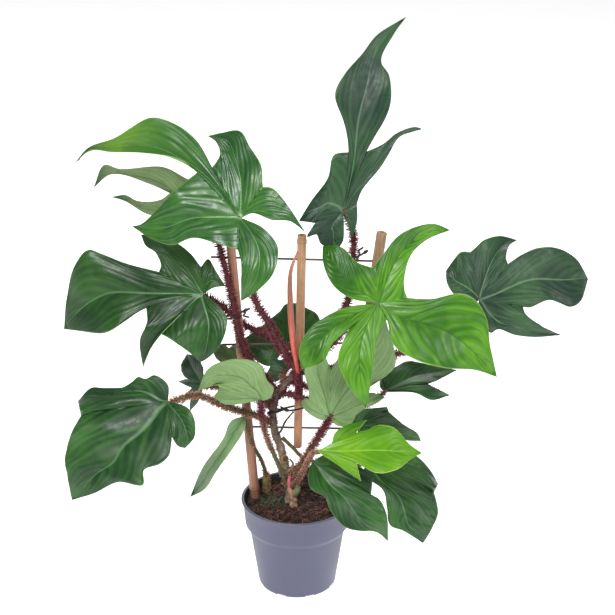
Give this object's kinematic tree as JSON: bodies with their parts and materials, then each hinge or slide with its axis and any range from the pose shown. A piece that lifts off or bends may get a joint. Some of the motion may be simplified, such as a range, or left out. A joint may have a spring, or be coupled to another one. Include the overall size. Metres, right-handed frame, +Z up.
{
  "type": "potted climbing houseplant",
  "caption": "Potted climbing plant with large lobed leaves on bristly red stalks, tied to a fan rack of bamboo canes in a round plastic nursery pot.",
  "frame": {"origin": "middle of the pot's flat base, where it rests", "axes": "+Z up, -Y towards the viewer of the front, +X to the viewer's right"},
  "size_m": [0.7963, 0.2678, 0.8578],
  "materials": {
    "pot": "satin lilac-grey",
    "soil": "crumbly",
    "bamboo": "varnished cane",
    "wire": "matt",
    "tie": "satin",
    "stem": "woody, ring scarred",
    "sheath": "papery",
    "stub": "fibrous",
    "petiole": "bristly",
    "leaf_dark": "waxy",
    "leaf_mid": "waxy",
    "leaf_bright": "waxy",
    "leaf_lime": "waxy",
    "leaf_pale": "matt underside"
  },
  "bodies": {
    "root": {"pot": "pot", "soil": "soil", "main_stem": "stem", "stub_left": "stub", "new_leaf_sheath": "sheath", "aerial_root": "stem", "cane_left": "bamboo", "cane_middle": "bamboo", "cane_right": "bamboo", "wire_top": "wire", "wire_middle": "wire", "wire_low": "wire", "tie_left": "tie", "tie_middle": "tie", "tie_top": "tie", "blade_top_left": "leaf_dark", "petiole_top_left": "petiole", "blade_back_left": "leaf_pale", "petiole_back_left": "petiole", "blade_mid_left": "leaf_dark", "petiole_mid_left": "petiole", "blade_low_left": "leaf_dark", "petiole_low_left": "petiole", "blade_folded_left": "leaf_dark", "petiole_folded_left": "petiole", "blade_pale_left": "leaf_pale", "petiole_pale_left": "petiole", "blade_hanging_left": "leaf_mid", "petiole_hanging_left": "petiole", "blade_top": "leaf_dark", "petiole_top": "petiole", "blade_front_right": "leaf_bright", "petiole_front_right": "petiole", "blade_far_right": "leaf_dark", "petiole_far_right": "petiole", "blade_side_right": "leaf_dark", "petiole_side_right": "petiole", "blade_pale_centre": "leaf_pale", "petiole_pale_centre": "petiole", "blade_young": "leaf_lime", "petiole_young": "petiole", "blade_low_front": "leaf_dark", "petiole_low_front": "petiole", "blade_low_right": "leaf_dark", "petiole_low_right": "petiole", "blade_under_right": "leaf_dark", "petiole_under_right": "petiole", "blade_back": "leaf_dark", "petiole_back": "petiole", "blade_inner": "leaf_dark", "petiole_inner": "petiole", "blade_back_pale": "leaf_pale", "petiole_back_pale": "petiole"}
  },
  "joints": []
}
